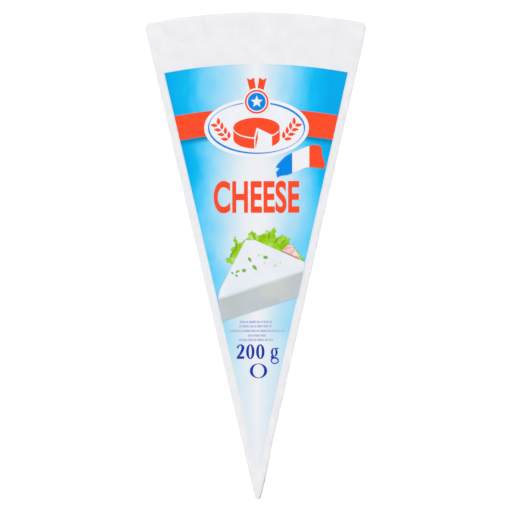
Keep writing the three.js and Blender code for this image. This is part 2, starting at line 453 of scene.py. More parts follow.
# %% Tip pleat
PLEAT_LENGTH = 15.0
PLEAT_SLOPE = 0.95  # how much its upper edge falls for each millimetre back from the tip
PLEAT_TOP = 1.15  # from the top face down to its highest point
LAYER_GAP = 0.02  # between layers pressed together
INNER_OUT = LAYER_GAP  # the inner layer's near face from the wall
OUTER_OUT = 2 * (PAPER + LAYER_GAP)  # and the outer layer's far face
PLEAT_PRESSED = 1.6  # the outer layer comes down to the wall over this width
PLEAT_FLARE = 0.02  # how far its back edge stands off
FLARE_REACH = 2.0
PLEAT_ROWS = 30
PLEAT_COLUMNS = 30
PLEAT_FOOT = 0.25  # its lower edge ends this far above the fold to the underside
PLEAT_CROWDING = 1.6  # a power that draws the columns towards the tip


def pleat_layer(out, edge_out, first, order):
    """One layer of the pocket, from the underside up and from near the tip back."""
    reach = first + (PLEAT_LENGTH - first) * np.linspace(0, 1, PLEAT_COLUMNS)[None, :] ** PLEAT_CROWDING
    low = BOTTOM_Z + FOLD_RADIUS + PLEAT_FOOT
    high = TOP_Z - PLEAT_TOP - first - PLEAT_SLOPE * reach
    z = low + np.linspace(0, 1, PLEAT_ROWS)[:, None] * (high - low)
    from_edge = np.minimum(high - z, reach - first)
    flare = PLEAT_FLARE * smooth((reach - PLEAT_LENGTH + FLARE_REACH) / FLARE_REACH)
    stands = edge_out + (out - edge_out) * smooth(from_edge / PLEAT_PRESSED) + flare
    line = side_line(0)
    way = np.gradient(line, axis=0)
    way = way / np.linalg.norm(way, axis=1)[:, None]
    back = np.concatenate([[0], np.cumsum(np.linalg.norm(np.diff(line, axis=0), axis=1))])
    x = np.interp(reach, back, line[:, 0]) + stands * np.interp(reach, back, way[:, 1])
    y = np.interp(reach, back, line[:, 1]) - stands * np.interp(reach, back, way[:, 0])
    return np.stack([x, y, z], axis=2)[:, ::order]


outer_layer = pleat_layer(OUTER_OUT, PAPER + LAYER_GAP, 0.0, 1)
inner_layer = pleat_layer(INNER_OUT, INNER_OUT, PLEAT_PRESSED, -1)
pleat = np.concatenate([outer_layer, inner_layer], axis=1)
print("Pleat grid", pleat.shape)

# %% [markdown]
# Now the grids become one mesh. Panels that carry on from each other share their edge, and merging by
# distance sews them there. Then the paper gets its life: broad, shallow waves where it bridges the cheese,
# fine creases, and little gathers where it is pulled round the curved heel. Every layer reads the same
# noise, at the nearest place on the pack's outline, so stacked layers move together and don't cut through
# each other.

# %% Build the sheet
SEWN = 0.0005  # points closer than this are one


def add_grid(bm, grid, flip):
    made = [[bm.verts.new(point * MM) for point in row] for row in grid]
    for i in range(len(made) - 1):
        for j in range(len(made[0]) - 1):
            corners = [made[i][j], made[i][j + 1], made[i + 1][j + 1], made[i + 1][j]]
            bm.faces.new(corners[::-1] if flip else corners)


bm = bmesh.new()
for grid in [tube, tucks[0]] + upper_panel + lower_panels[1]:
    add_grid(bm, grid, False)
for grid in [tucks[1], pleat] + lower_panels[0]:
    add_grid(bm, grid, True)
bmesh.ops.remove_doubles(bm, verts=bm.verts, dist=SEWN * MM)
bmesh.ops.dissolve_degenerate(bm, edges=bm.edges, dist=SEWN * MM)
bm.normal_update()
print("Sheet faces", len(bm.faces))

# %% Creases and waves
WAVE_SIZE = 26.0
WAVE_DEPTH = 0.14
CREASE_SIZE = 11.0
CREASE_DEPTH = 0.30
GATHER_PITCH = 3.4
GATHER_DEPTH = 0.12
GATHER_REACH = 7.0
GATHERED_AREA = 9.0  # size of the areas that gather more, or less
GATHER_DRIFT = 6.0  # and of the ones where the gathers crowd or spread
TOP_SHARE = 0.5  # the top is pulled tight, so it creases less
UNDER_SHARE = 0.1  # and the underside, pressed flat by the weight, least
FACE_BLEND = 0.4
LABEL_EASE = 2.5
TIP_EASE = 6.0  # the tip is pinched tight, so the creases fade in over this distance
CREASE_BEND = 0.35  # how crooked the creases run
CREASE_BEND_SIZE = 14.0
CREASED_AREA = 21.0  # size of the areas that crease more, or less
CREASE_SHARPNESS = 2.6
PROUD = 0.24  # the walls bulge out between their creases
HEEL_PROUD = 0.17  # and the heel, where the folds are thickest, a little more
deepest = 0.0
NOISE_SEED = 7
noise.seed_set(NOISE_SEED)  # noise_vector's offsets would come from the clock otherwise


def crease_field(point):
    """Depth of the paper at a place in mm, from 0 at its proudest: broad waves and sharp-bottomed creases."""
    p = Vector(point)
    wave = 0.5 + 0.5 * noise.noise(p / WAVE_SIZE)
    bent = p / CREASE_SIZE + CREASE_BEND * noise.noise_vector(p / CREASE_BEND_SIZE)
    distances = noise.voronoi(bent)[0]
    crease = max(0.0, 1 - (distances[1] - distances[0]) * CREASE_SHARPNESS)
    share = 0.5 + 0.5 * noise.noise(p / CREASED_AREA + Vector((7, 3, 5)))
    return WAVE_DEPTH * wave + CREASE_DEPTH * crease ** 2 * share ** 1.5


def gather_field(point):
    """Small pleats that fade away from the heel's upper and lower edges."""
    x, y, z = point
    turn = math.atan2(x, y - HEEL_CENTRE_Y) * HEEL_RADIUS
    from_rim = abs(HEEL_RADIUS - math.hypot(x, y - HEEL_CENTRE_Y))
    from_level = min(abs(TOP_Z - z), abs(z - BOTTOM_Z))
    fade = math.exp(-(from_rim + from_level) / GATHER_REACH * 2)
    strength = max(0.0, 0.35 + noise.noise(Vector((turn / GATHERED_AREA, 2.5, 0.0))))
    phase = 2.2 * noise.noise(Vector((turn / GATHER_DRIFT, 8.5, 0.0)))
    return GATHER_DEPTH * fade * strength * (0.5 - 0.5 * math.cos(2 * math.pi * turn / GATHER_PITCH + phase))


def outline_here(point):
    """The way out of the pack at a place, and the nearest place on its outline. Both are the same for every
    layer there, and both are blended where two faces meet."""
    x, y, z = point
    from_heel_centre = Vector((x, y - HEEL_CENTRE_Y, 0.0))
    reach = (y - TIP_CENTRE[1]) * math.sin(HALF_ANGLE)
    faces = [(TOP_Z - z, Vector((0, 0, 1))), (z - BOTTOM_Z, Vector((0, 0, -1))),
             (HEEL_RADIUS - from_heel_centre.length, from_heel_centre.normalized())]
    for sign in (-1, 1):
        depth_in = TIP_RADIUS - (sign * x * math.cos(HALF_ANGLE) - reach)
        faces.append((depth_in, Vector((sign * SIDE_OUT[0], SIDE_OUT[1], 0.0))))
    way_out, shift, total = Vector(), Vector(), 0.0
    for depth_in, way in faces:
        share = math.exp(-abs(depth_in) / FACE_BLEND)
        way_out += share * way
        shift += share * float(depth_in) * way
        total += share
    return way_out.normalized(), Vector(point) + shift / total


def off_label(point):
    """0 where the front label is stuck down, rising to 1 beside it."""
    x, y = point[:2]
    side = (abs(x) - (y - LABEL_POINT_Y) * math.tan(HALF_ANGLE)) * math.cos(HALF_ANGLE)
    heel = math.hypot(x, y - HEEL_CENTRE_Y) - (LABEL_HIGH[1] - HEEL_CENTRE_Y)
    return smooth(max(side, heel) / LABEL_EASE)


for vert in bm.verts:
    way, place = outline_here([float(c) / MM for c in vert.co])
    upness, downness = max(0.0, way.z), max(0.0, -way.z)
    share = 1 - (1 - TOP_SHARE) * upness - (1 - UNDER_SHARE) * downness
    depth = crease_field(place) * share + gather_field(place) * (1 - (1 - UNDER_SHARE) * downness)
    depth -= (PROUD + HEEL_PROUD * max(0.0, way.y)) * (1 - upness - downness)
    depth = depth * smooth((place[1] - TIP_Y) / TIP_EASE) * (1 - upness * (1 - off_label(place)))
    vert.co -= way * float(depth) * MM
    deepest = max(deepest, float(depth))
sheet_mesh = bpy.data.meshes.new("folded_paper")
bm.to_mesh(sheet_mesh)
bm.free()
folded_paper = bpy.data.objects.new("folded_paper", sheet_mesh)
bpy.context.scene.collection.objects.link(folded_paper)
print("Deepest crease", round(deepest, 2), "mm")

# %% Thickness and smooth shading
deselect()
bpy.context.view_layer.objects.active = folded_paper
folded_paper.select_set(True)
thicken = folded_paper.modifiers.new("paper", "SOLIDIFY")
thicken.thickness = PAPER * MM
thicken.offset = -1
bpy.ops.object.modifier_apply(modifier=thicken.name)
bpy.ops.object.shade_smooth_by_angle(angle=math.radians(40))
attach(folded_paper, "root")
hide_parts("paper_wrapper")
print("Triangles", sum(len(p.vertices) - 2 for p in folded_paper.data.polygons))

# %% [markdown]
# ### The paper's finish
# Cheese wrap is a thin bleached paper, calendered smooth and coated, so it is white with a soft sheen. It is
# faintly cloudy, because the pulp settles unevenly. The film inside stiffens it, so it shows many small dents
# and hair-thin crease lines, too fine for the mesh; bumps carry those.

# %% Coated wrapping paper
CLOUD_SIZE = 5.0  # of the uneven patches in the pulp
SHEEN_PATCH = 12.0
DENT_SIZE = 8.0
HAIR_CREASE_SIZE = 13.0  # between hair-thin creases
HAIR_BEND_SIZE = 15.0
HAIR_BEND = 9.0  # how far they are bent aside
FIBRE_SIZE = 0.5  # real fibres are ten times finer, and wouldn't show

paper_material, tree, shader = new_material("coated_wrapping_paper")
place = place_in_mm(tree)
clouds = add_node(tree, "ShaderNodeTexNoise", {"Vector": place, "Scale": 1 / CLOUD_SIZE, "Detail": 3.0})
tone = set_ramp(add_node(tree, "ShaderNodeValToRGB", {"Fac": clouds}), [(0.3, "#efeff1"), (0.7, "#f5f4f6")])
patches = add_node(tree, "ShaderNodeTexNoise", {"Vector": place, "Scale": 1 / SHEEN_PATCH})
sheen = add_node(tree, "ShaderNodeMapRange", {
    "Value": patches, "From Min": 0.3, "From Max": 0.7, "To Min": 0.36, "To Max": 0.50})
dents = add_node(tree, "ShaderNodeTexNoise", {
    "Vector": place, "Scale": 1 / DENT_SIZE, "Detail": 4.0, "Roughness": 0.55, "Distortion": 0.6})
bent = add_node(tree, "ShaderNodeTexNoise", {"Vector": place, "Scale": 1 / HAIR_BEND_SIZE, "Detail": 1.0})
shift = add_node(tree, "ShaderNodeVectorMath", {0: bent.outputs["Color"], "Scale": HAIR_BEND},
                 operation="SCALE")
bent_place = add_node(tree, "ShaderNodeVectorMath", {0: place, 1: shift}, operation="ADD")
cells = add_node(tree, "ShaderNodeTexVoronoi", {"Vector": bent_place, "Scale": 1 / HAIR_CREASE_SIZE},
                 feature="DISTANCE_TO_EDGE")
hair = add_node(tree, "ShaderNodeMapRange", {
    "Value": cells, "From Min": 0.0, "From Max": 0.06, "To Min": 0.0, "To Max": 1.0})
fibres = add_node(tree, "ShaderNodeTexNoise", {"Vector": place, "Scale": 1 / FIBRE_SIZE})
dented = add_node(tree, "ShaderNodeBump", {"Height": dents, "Strength": 0.5, "Distance": 0.7 * MM})
creased = add_node(tree, "ShaderNodeBump", {
    "Height": hair, "Normal": dented, "Strength": 0.35, "Distance": 0.12 * MM})
fibrous = add_node(tree, "ShaderNodeBump", {
    "Height": fibres, "Normal": creased, "Strength": 0.12, "Distance": 0.05 * MM})
fill(tree, shader, {"Base Color": tone, "Roughness": sheen, "Normal": fibrous, "Specular IOR Level": 0.35})
dress(folded_paper, paper_material)
print(paper_material.name, "on", folded_paper.name)

# %% [markdown]
# ## The front label
# The label is machine-coated paper, offset printed: a sky that is a strong cyan at both sides and fades to
# bare white down the middle and towards the tip. The gradient is worked out at each place from two things:
# how far along the pack it is, and how far it is from the axis as a share of the label's half width there.
# One ramp says how strong the blue is at the label's edge and another how quickly it fades inwards. A little
# noise breaks it up into thin cloud.

# %% Label sheen, shared by the paper and every ink on it
LABEL_WAVE = 28.0
LABEL_ROUGHNESS = 0.42
LABEL_SPECULAR = 0.08


def label_surface(tree, shader, place):
    """A calm satin surface with a slow wave, the same for the label and all that is printed on it."""
    wave = add_node(tree, "ShaderNodeTexNoise", {"Vector": place, "Scale": 1 / LABEL_WAVE, "Detail": 1.0})
    grain = add_node(tree, "ShaderNodeTexNoise", {"Vector": place, "Scale": 1 / FIBRE_SIZE})
    slow = add_node(tree, "ShaderNodeBump", {"Height": wave, "Strength": 0.5, "Distance": 0.6 * MM})
    fine = add_node(tree, "ShaderNodeBump", {
        "Height": grain, "Normal": slow, "Strength": 0.06, "Distance": 0.04 * MM})
    fill(tree, shader, {
        "Normal": fine, "Roughness": LABEL_ROUGHNESS, "Specular IOR Level": LABEL_SPECULAR})


# %% Sky measures
PACK_LENGTH = HEEL_Y - TIP_Y
FADE_MOST = 3.0  # the second ramp's greys stand for powers up to this
CLOUD_SPREAD = 11.0  # size of the sky's clouds
CLOUD_PALER, CLOUD_BLUER = -0.80, 0.76  # how far they shift the blue each way
BAND_LOW = 147.95  # the red band, as distances from the heel's centre
BAND_HIGH = 156.5
SHADOW_REACH = 2.4  # of the shade below the red band
EDGE_BLUE = [(0.0, 0.0), (0.10, 0.03), (0.17, 0.08), (0.24, 0.13), (0.30, 0.20), (0.37, 0.33), (0.46, 0.44),
             (0.53, 0.53), (0.60, 0.60), (0.64, 0.70), (0.67, 0.88), (0.73, 1.0), (1.0, 1.0)]
FADE_POWER = [(0.0, 0.55), (0.24, 0.9), (0.37, 1.25), (0.5, 1.5), (0.6, 1.8), (0.66, 2.2), (0.72, 1.7),
              (0.78, 1.35), (0.9, 1.15)]
SKY_TONES = [(0.0, "#f2f3f6"), (0.05, "#e7eff4"), (0.12, "#d2e9f4"), (0.21, "#b6e3f6"), (0.36, "#87d8f8"),
             (0.54, "#4fcdfb"), (0.70, "#0ebef4"), (0.82, "#00b6f1"), (1.0, "#00aaec")]
RIGHT_EXTRA = 0.16  # above the band the blue reaches further in from the right
print("Sky ramps", len(EDGE_BLUE), len(FADE_POWER), len(SKY_TONES))

# %% Printed sky
sky_material, tree, shader = new_material("offset_printed_label_paper")
place = place_in_mm(tree)
parts = add_node(tree, "ShaderNodeSeparateXYZ", {"Vector": place})
from_tip = add_node(tree, "ShaderNodeMath", {0: parts.outputs["Y"], 1: TIP_Y}, operation="SUBTRACT")
share_along = add_node(tree, "ShaderNodeMath", {0: from_tip, 1: PACK_LENGTH}, operation="DIVIDE")
from_point = add_node(
    tree, "ShaderNodeMath", {0: parts.outputs["Y"], 1: LABEL_POINT_Y}, operation="SUBTRACT")
widening = add_node(tree, "ShaderNodeMath", {0: from_point, 1: math.tan(HALF_ANGLE)}, operation="MULTIPLY")
half_width = add_node(tree, "ShaderNodeMath", {0: widening, 1: 0.5}, operation="MAXIMUM")
from_axis = add_node(tree, "ShaderNodeMath", {0: parts.outputs["X"]}, operation="ABSOLUTE")
even_across = add_node(tree, "ShaderNodeMath", {0: from_axis, 1: half_width}, operation="DIVIDE")
on_right = add_node(tree, "ShaderNodeMapRange", {
    "Value": parts.outputs["X"], "From Min": 2.0, "From Max": 20.0}, interpolation_type="SMOOTHSTEP")
high_up = add_node(tree, "ShaderNodeMapRange", {
    "Value": share_along, "From Min": 0.70, "From Max": 0.84, "To Max": RIGHT_EXTRA})
across = add_node(tree, "ShaderNodeMath", {0: on_right, 1: high_up, 2: even_across},
                  operation="MULTIPLY_ADD", use_clamp=True)
strength = set_ramp(add_node(tree, "ShaderNodeValToRGB", {"Fac": share_along}), EDGE_BLUE)
power_stops = [(position, value / FADE_MOST) for position, value in FADE_POWER]
power_share = set_ramp(add_node(tree, "ShaderNodeValToRGB", {"Fac": share_along}), power_stops)
power = add_node(tree, "ShaderNodeMath", {0: power_share, 1: FADE_MOST}, operation="MULTIPLY")
inward = add_node(tree, "ShaderNodeMath", {0: across, 1: power}, operation="POWER")
clear_blue = add_node(tree, "ShaderNodeMath", {0: strength, 1: inward}, operation="MULTIPLY")

# %% Cloud in the sky, and the shade under the band
cloud_place = add_node(tree, "ShaderNodeMapping", {"Vector": place, "Scale": (1.0, 0.6, 1.0)})
cloud = add_node(tree, "ShaderNodeTexNoise", {
    "Vector": cloud_place, "Scale": 1 / CLOUD_SPREAD, "Detail": 3.0, "Roughness": 0.55, "Distortion": 0.4})
cloud_part = add_node(
    tree, "ShaderNodeMapRange", {"Value": cloud, "To Min": CLOUD_PALER, "To Max": CLOUD_BLUER}, clamp=False)
paler = add_node(tree, "ShaderNodeMath", {0: 1.25, 1: clear_blue}, operation="SUBTRACT")
middling = add_node(tree, "ShaderNodeMath", {0: clear_blue, 1: paler}, operation="MULTIPLY")
blue = add_node(tree, "ShaderNodeMath", {0: cloud_part, 1: middling, 2: clear_blue},
                operation="MULTIPLY_ADD", use_clamp=True)
sky = set_ramp(add_node(tree, "ShaderNodeValToRGB", {"Fac": blue}), SKY_TONES)
radius = heel_distance(tree, place)
shade = add_node(tree, "ShaderNodeMapRange", {
    "Value": radius, "From Min": BAND_LOW - SHADOW_REACH, "From Max": BAND_LOW - 0.5},
    interpolation_type="SMOOTHSTEP")
below_band = add_node(tree, "ShaderNodeMath", {0: radius, 1: BAND_HIGH}, operation="LESS_THAN")
shade_here = add_node(tree, "ShaderNodeMath", {0: shade, 1: below_band}, operation="MULTIPLY")
shaded = add_node(tree, "ShaderNodeMix", {"Factor": shade_here, 6: sky, 7: linear("#008dbd")},
                  data_type="RGBA")
fill(tree, shader, {"Base Color": shaded.outputs[2]})
label_surface(tree, shader, place)
dress(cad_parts["front_label"], sky_material)
print(sky_material.name)

# %% [markdown]
# ### Inks
# The rest of the print is areas of one ink each. Drawn as a texture they would blur when the label is looked
# at closely, so each is a thin closed piece, cut as a flat curve with its outline in millimetres, counted
# across from the axis and up from the pack's tip. Real ink is thinner; this thickness keeps the layers apart.
# The curve becomes a mesh while it is still large, since outlines a tenth of a millimetre wide fill cleanly
# only at a large size, and then it is scaled down into its place.

# %% A printed area from a flat curve or from text
INK = 0.02
LAYER_STEP = 0.03
FIRST_GAP = 0.004


def settle_print(flat, name, layer, material, box=None):
    """Makes a flat curve or text a closed mesh and lays it on the label. box, as its lowest and highest
    corner on the label in mm, stretches it to that size."""
    deselect()
    bpy.context.view_layer.objects.active = flat
    flat.select_set(True)
    bpy.ops.object.convert(target="MESH")
    piece = bpy.context.object
    piece.name = name
    piece.data.name = name
    bpy.ops.object.mode_set(mode="EDIT")
    bpy.ops.mesh.select_all(action="SELECT")
    bpy.ops.mesh.remove_doubles(threshold=INK / 20)
    bpy.ops.mesh.dissolve_degenerate(threshold=INK / 40)
    bpy.ops.mesh.normals_make_consistent(inside=False)
    bpy.ops.object.mode_set(mode="OBJECT")
    height = LABEL_HIGH[2] + FIRST_GAP + layer * LAYER_STEP + INK / 2
    size = [1.0, 1.0]
    start = [0.0, 0.0]
    if box:
        corners = np.array([list(corner) for corner in piece.bound_box])
        low, high = corners.min(axis=0), corners.max(axis=0)
        size = [(box[1][k] - box[0][k]) / float(high[k] - low[k]) for k in range(2)]
        start = [box[0][k] - size[k] * float(low[k]) for k in range(2)]
    piece.scale = (size[0] * MM, size[1] * MM, MM)
    piece.location = (start[0] * MM, (TIP_Y + start[1]) * MM, height * MM)
    bpy.ops.object.transform_apply(location=True, rotation=True, scale=True)
    dress(piece, material)
    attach(piece, "root")
    return piece


def print_area(name, outlines, layer, material):
    """Prints closed outlines as one thin piece. An outline inside another is a hole."""
    curve = bpy.data.curves.new(name, "CURVE")
    curve.dimensions = "2D"
    curve.fill_mode = "BOTH"
    curve.extrude = INK / 2
    for outline in outlines:
        spline = curve.splines.new("POLY")
        spline.points.add(len(outline) - 1)
        for point, (x, s) in zip(spline.points, outline):
            point.co = (x, s, 0, 1)
        spline.use_cyclic_u = True
    flat = bpy.data.objects.new(name, curve)
    bpy.context.scene.collection.objects.link(flat)
    return settle_print(flat, name, layer, material)


def print_words(name, words, box, weight, layer, material):
    """Prints plain capitals, made bolder by weight, stretched to fill a box."""
    deselect()
    bpy.ops.object.text_add()
    flat = bpy.context.object
    flat.data.body = words
    flat.data.size = 10.0
    flat.data.offset = weight
    flat.data.extrude = INK / 2
    flat.data.space_character = 1.05
    return settle_print(flat, name, layer, material, box)


# %% Outlines
def arc(cx, cs, rx, rs, first=0.0, last=360.0, count=72):
    """Points along an ellipse, with its turns in degrees anticlockwise from the right."""
    closed = abs(last - first) >= 360
    turns = np.radians(np.linspace(first, last, count, endpoint=not closed))
    return [(float(cx + rx * math.cos(t)), float(cs + rs * math.sin(t))) for t in turns]


def turned(outline, cx, cs, degrees):
    """An outline drawn round the origin, turned and moved to its place."""
    c, s = math.cos(math.radians(degrees)), math.sin(math.radians(degrees))
    return [(cx + x * c - y * s, cs + x * s + y * c) for x, y in outline]


def leaf(length, width, count=9):
    """A pointed leaf lying along the first direction, from stalk to point."""
    share = np.linspace(0, 1, count)
    edge = width / 2 * np.sin(math.pi * share ** 0.8)
    upper = [(float(length * (t - 0.5)), float(e)) for t, e in zip(share, edge)]
    lower = [(x, -e) for x, e in upper[1:-1]]
    return upper + lower[::-1]


def smooth_line(points, steps=8):
    """Points along a Catmull-Rom curve through the given ones."""
    p = np.array(points, float)
    p = np.vstack([2 * p[0] - p[1], p, 2 * p[-1] - p[-2]])
    found = []
    for i in range(1, len(p) - 2):
        for t in np.linspace(0, 1, steps, endpoint=False):
            a, b, c, d = p[i - 1:i + 3]
            found.append(0.5 * (2 * b + (c - a) * t + (2 * a - 5 * b + 4 * c - d) * t ** 2
                                + (3 * b - a - 3 * c + d) * t ** 3))
    return [(float(x), float(y)) for x, y in found + [p[-2]]]


print("A leaf has", len(leaf(2.0, 1.0)), "points")

# %% Inks as materials
INK_MOTTLE = 1.6  # usual size of the patches
NOISE_LOW, NOISE_HIGH = 0.34, 0.66  # nearly all of the noise lies between these


def ink(name, tones, patch=INK_MOTTLE):
    """Offset ink on satin paper. Even a solid area drifts a little between tones, in patches of that size."""
    material, tree, shader = new_material(name)
    place = place_in_mm(tree)
    drift = add_node(tree, "ShaderNodeTexNoise", {"Vector": place, "Scale": 1 / patch, "Detail": 3.0})
    positions = np.linspace(NOISE_LOW, NOISE_HIGH, len(tones))
    tone = set_ramp(add_node(tree, "ShaderNodeValToRGB", {"Fac": drift}), list(zip(positions, tones)))
    fill(tree, shader, {"Base Color": tone})
    label_surface(tree, shader, place)
    return material


red_ink = ink("offset_ink_warm_red", ["#ff4b24", "#ff5230"])
blue_ink = ink("offset_ink_process_blue", ["#0086e4", "#048fee"])
navy_ink = ink("offset_ink_reflex_blue", ["#1430a8", "#1c3cba"])
pale_ink = ink("offset_ink_tint_of_blue", ["#aebde6", "#bdcbee"])
white_ink = ink("opaque_white_ink", ["#f2f2f5", "#f6f6f8"])
print("Inks", [m.name for m in (red_ink, blue_ink, navy_ink, pale_ink, white_ink)])

# %% [markdown]
# ### Band, badge and medal
# A red band crosses the label on a circle round the heel's own centre, so it runs parallel to the heel. Its
# ends are cut by the label's sides: a circle of radius r meets a side where r sin(turn - half angle) equals
# the way up from the label's point to that centre, times sin(half angle). The way is negative, because the
# centre lies beyond the tip. A plain oval badge lies over the band, with a cheese in it, and a small medal
# with a star above.

# %% Band
def side_turn(radius):
    """Where a circle round the heel's centre meets the label's side, as a turn from the long axis."""
    apart = HEEL_CENTRE_Y - LABEL_POINT_Y
    return HALF_ANGLE + math.asin(apart * math.sin(HALF_ANGLE) / radius)


def rim_arc(radius, first, last, count=40):
    turns = np.linspace(first, last, count)
    centre = HEEL_CENTRE_Y - TIP_Y
    return [(float(radius * math.sin(t)), float(centre + radius * math.cos(t))) for t in turns]


low_turn, high_turn = side_turn(BAND_LOW), side_turn(BAND_HIGH)
band = rim_arc(BAND_LOW, -low_turn, low_turn) + rim_arc(BAND_HIGH, high_turn, -high_turn)
print_area("print_band", [band], 0, red_ink)
print("Band half width", round(BAND_LOW * math.sin(low_turn), 1), "to",
      round(BAND_HIGH * math.sin(high_turn), 1))

# %% Badge
BADGE = (0.1, 128.3)
BADGE_SIZE = (18.1, 10.2)
RING_SIZE = (16.8, 9.0)
NIB_TURN = -1.8  # the ring's inner edge is turned this much, so it swells and thins like a pen stroke
NIB = 0.45  # the ring's usual width
ring_inside = turned(arc(0, 0, RING_SIZE[0] - NIB, RING_SIZE[1] - NIB, count=120), *BADGE, NIB_TURN)
print_area("print_badge", [arc(*BADGE, *BADGE_SIZE, count=120)], 1, white_ink)
print_area("print_badge_ring", [arc(*BADGE, *RING_SIZE, count=120), ring_inside], 2, blue_ink)
print("Badge centre", BADGE)

# %% The cheese in the badge: a round one with a point cut out, and a sprig on each side
WHEEL = (0.1, 128.4)
WHEEL_SIZE = (8.0, 3.4)
WHEEL_SIDE = 3.4
NOTCH = (-96.0, -48.0)  # the cut's two turns
GAP = 0.5
wheel_top = arc(*WHEEL, *WHEEL_SIZE, NOTCH[1], NOTCH[0] + 360, 60) + [WHEEL]
wheel_lines = []
for first, last in ((180.0, NOTCH[0] + 360), (NOTCH[1] + 360, 360.0)):
    upper = arc(WHEEL[0], WHEEL[1] - GAP, *WHEEL_SIZE, first, last, 24)
    lower = arc(WHEEL[0], WHEEL[1] - GAP - WHEEL_SIDE, *WHEEL_SIZE, first, last, 24)
    wheel_lines.append(upper + lower[::-1])
cut_rim = arc(WHEEL[0], WHEEL[1] - GAP, *WHEEL_SIZE, NOTCH[0], NOTCH[0] + 1, 2)[0]
cut_face = [(WHEEL[0] + 0.4, WHEEL[1] - 1.0), (cut_rim[0] + 0.45, cut_rim[1] - 0.1),
            (cut_rim[0] + 0.45, cut_rim[1] - WHEEL_SIDE), (WHEEL[0] + 0.4, WHEEL[1] - 0.3 - WHEEL_SIDE)]
print_area("print_cheese_wheel", [wheel_top, cut_face] + wheel_lines, 3, red_ink)
SPRIG_FOOT = (9.5, 124.3)  # the right sprig's first pair of leaves
SPRIG_STEP = (1.2, 1.6)
SPRIG_LEAN = 53
LEAF_PAIRS = 4
LEAF_LEANS = (38, -48)
LEAF_LENGTH, LEAF_WIDTH = 2.6, 1.15
LEAF_GAP = 0.25  # from the middle of the sprig, so that no two leaves touch
sprigs = []
for side in (-1, 1):
    for i in range(LEAF_PAIRS):
        for lean in LEAF_LEANS:
            one = [(x + LEAF_LENGTH / 2 + LEAF_GAP, y) for x, y in leaf(LEAF_LENGTH, LEAF_WIDTH)]
            foot = (SPRIG_FOOT[0] + SPRIG_STEP[0] * i, SPRIG_FOOT[1] + SPRIG_STEP[1] * i)
            sprigs.append([(side * x, y) for x, y in turned(one, *foot, SPRIG_LEAN + lean)])
print_area("print_sprigs", sprigs, 3, red_ink)
print("Leaves", len(sprigs))

# %% Medal
MEDAL = (0.2, 137.3)
STAR_POINTS = 5
STAR_SIZE = (2.2, 0.95)  # how far its points and its inner corners are from the middle


def star(cx, cs, outer, inner):
    turns = [math.radians(90 + 180 * i / STAR_POINTS) for i in range(2 * STAR_POINTS)]
    return [(cx + r * math.cos(t), cs + r * math.sin(t)) for t, r in zip(turns, [outer, inner] * STAR_POINTS)]


tails = []
for side in (-1, 1):
    tails.append([(MEDAL[0] + side * x, MEDAL[1] + s) for x, s in (
        (0.25, 4.3), (0.9, 8.4), (2.2, 7.6), (3.4, 8.2), (2.3, 3.7))])
print_area("print_medal_ribbon", tails, 1, red_ink)
MEDAL_BACK, MEDAL_RIM, RIM_INSIDE, MEDAL_DISC = 4.7, 4.1, 3.5, 3.1  # radii
print_area("print_medal_back", [arc(*MEDAL, MEDAL_BACK, MEDAL_BACK)], 3, white_ink)
rim = [arc(*MEDAL, radius, radius) for radius in (MEDAL_RIM, RIM_INSIDE)]
print_area("print_medal_rim", rim, 4, red_ink)
print_area("print_medal_disc", [arc(*MEDAL, MEDAL_DISC, MEDAL_DISC), star(*MEDAL, *STAR_SIZE)], 4, blue_ink)
print("Medal centre", MEDAL)

# %% [markdown]
# ### Flag, word and weight
# The flag waves, and its edge at the pole is torn a little. Two smooth lines give its upper and lower
# edges, and each colour takes the stretch between two upright cuts. The word only says what is inside, in
# plain capitals. The weight's figures are drawn from ellipses and smooth outlines, because Blender's own
# letters are as thick at the turns as in the uprights.

# %% Flag
FLAG_TOP = [(6.7, 114.6), (7.5, 115.8), (10.0, 118.3), (12.4, 119.6), (15.2, 120.9), (18.3, 122.0),
            (20.3, 122.3), (21.8, 122.1)]
FLAG_FOOT = [(7.2, 111.0), (8.3, 111.6), (10.9, 112.0), (12.8, 112.8), (14.9, 113.5), (16.5, 114.3),
             (18.3, 114.6), (20.3, 114.5), (22.0, 114.2)]
FLY_EDGE = [(22.6, 121.1), (22.7, 119.0), (23.2, 117.4), (23.7, 115.8), (23.1, 114.1)]
POLE_EDGE = [(6.8, 112.9), (8.0, 114.2)]
BLUE_END, RED_START = 12.4, 18.3


def stretch(line, first, last):
    """The part of a line, drawn from left to right, between two upright cuts."""
    line = smooth_line(line)
    inside = [(x, y) for x, y in line if first < x < last]
    ends = [(x, float(np.interp(x, *zip(*line)))) for x in (first, last)]
    return ends[:1] + inside + ends[1:]


fly = smooth_line(FLAG_TOP[-1:] + FLY_EDGE + FLAG_FOOT[-1:])[1:-1]
top_cuts = [FLAG_TOP[0][0], BLUE_END, RED_START, FLAG_TOP[-1][0]]
foot_cuts = [FLAG_FOOT[0][0], BLUE_END, RED_START, FLAG_FOOT[-1][0]]
for i, (name, right_edge, left_edge, material) in enumerate((
        ("blue", [], POLE_EDGE, blue_ink), ("white", [], [], white_ink), ("red", fly, [], red_ink))):
    foot = stretch(FLAG_FOOT, *foot_cuts[i:i + 2])[::-1]
    stripe = stretch(FLAG_TOP, *top_cuts[i:i + 2]) + right_edge + foot + left_edge
    print_area("print_flag_" + name, [stripe], 3, material)
print("Flag from", FLAG_TOP[0][0], "to", max(x for x, s in FLY_EDGE), "mm right of the axis")

# %% Words
WORD_LOW, WORD_HIGH = (-14.8, 98.8), (14.8, 110.0)
WORD_WEIGHT = 0.30
print_words("print_word", "CHEESE", (WORD_LOW, WORD_HIGH), WORD_WEIGHT, 1, red_ink)
print("Word", round(WORD_HIGH[0] - WORD_LOW[0], 1), "mm wide")

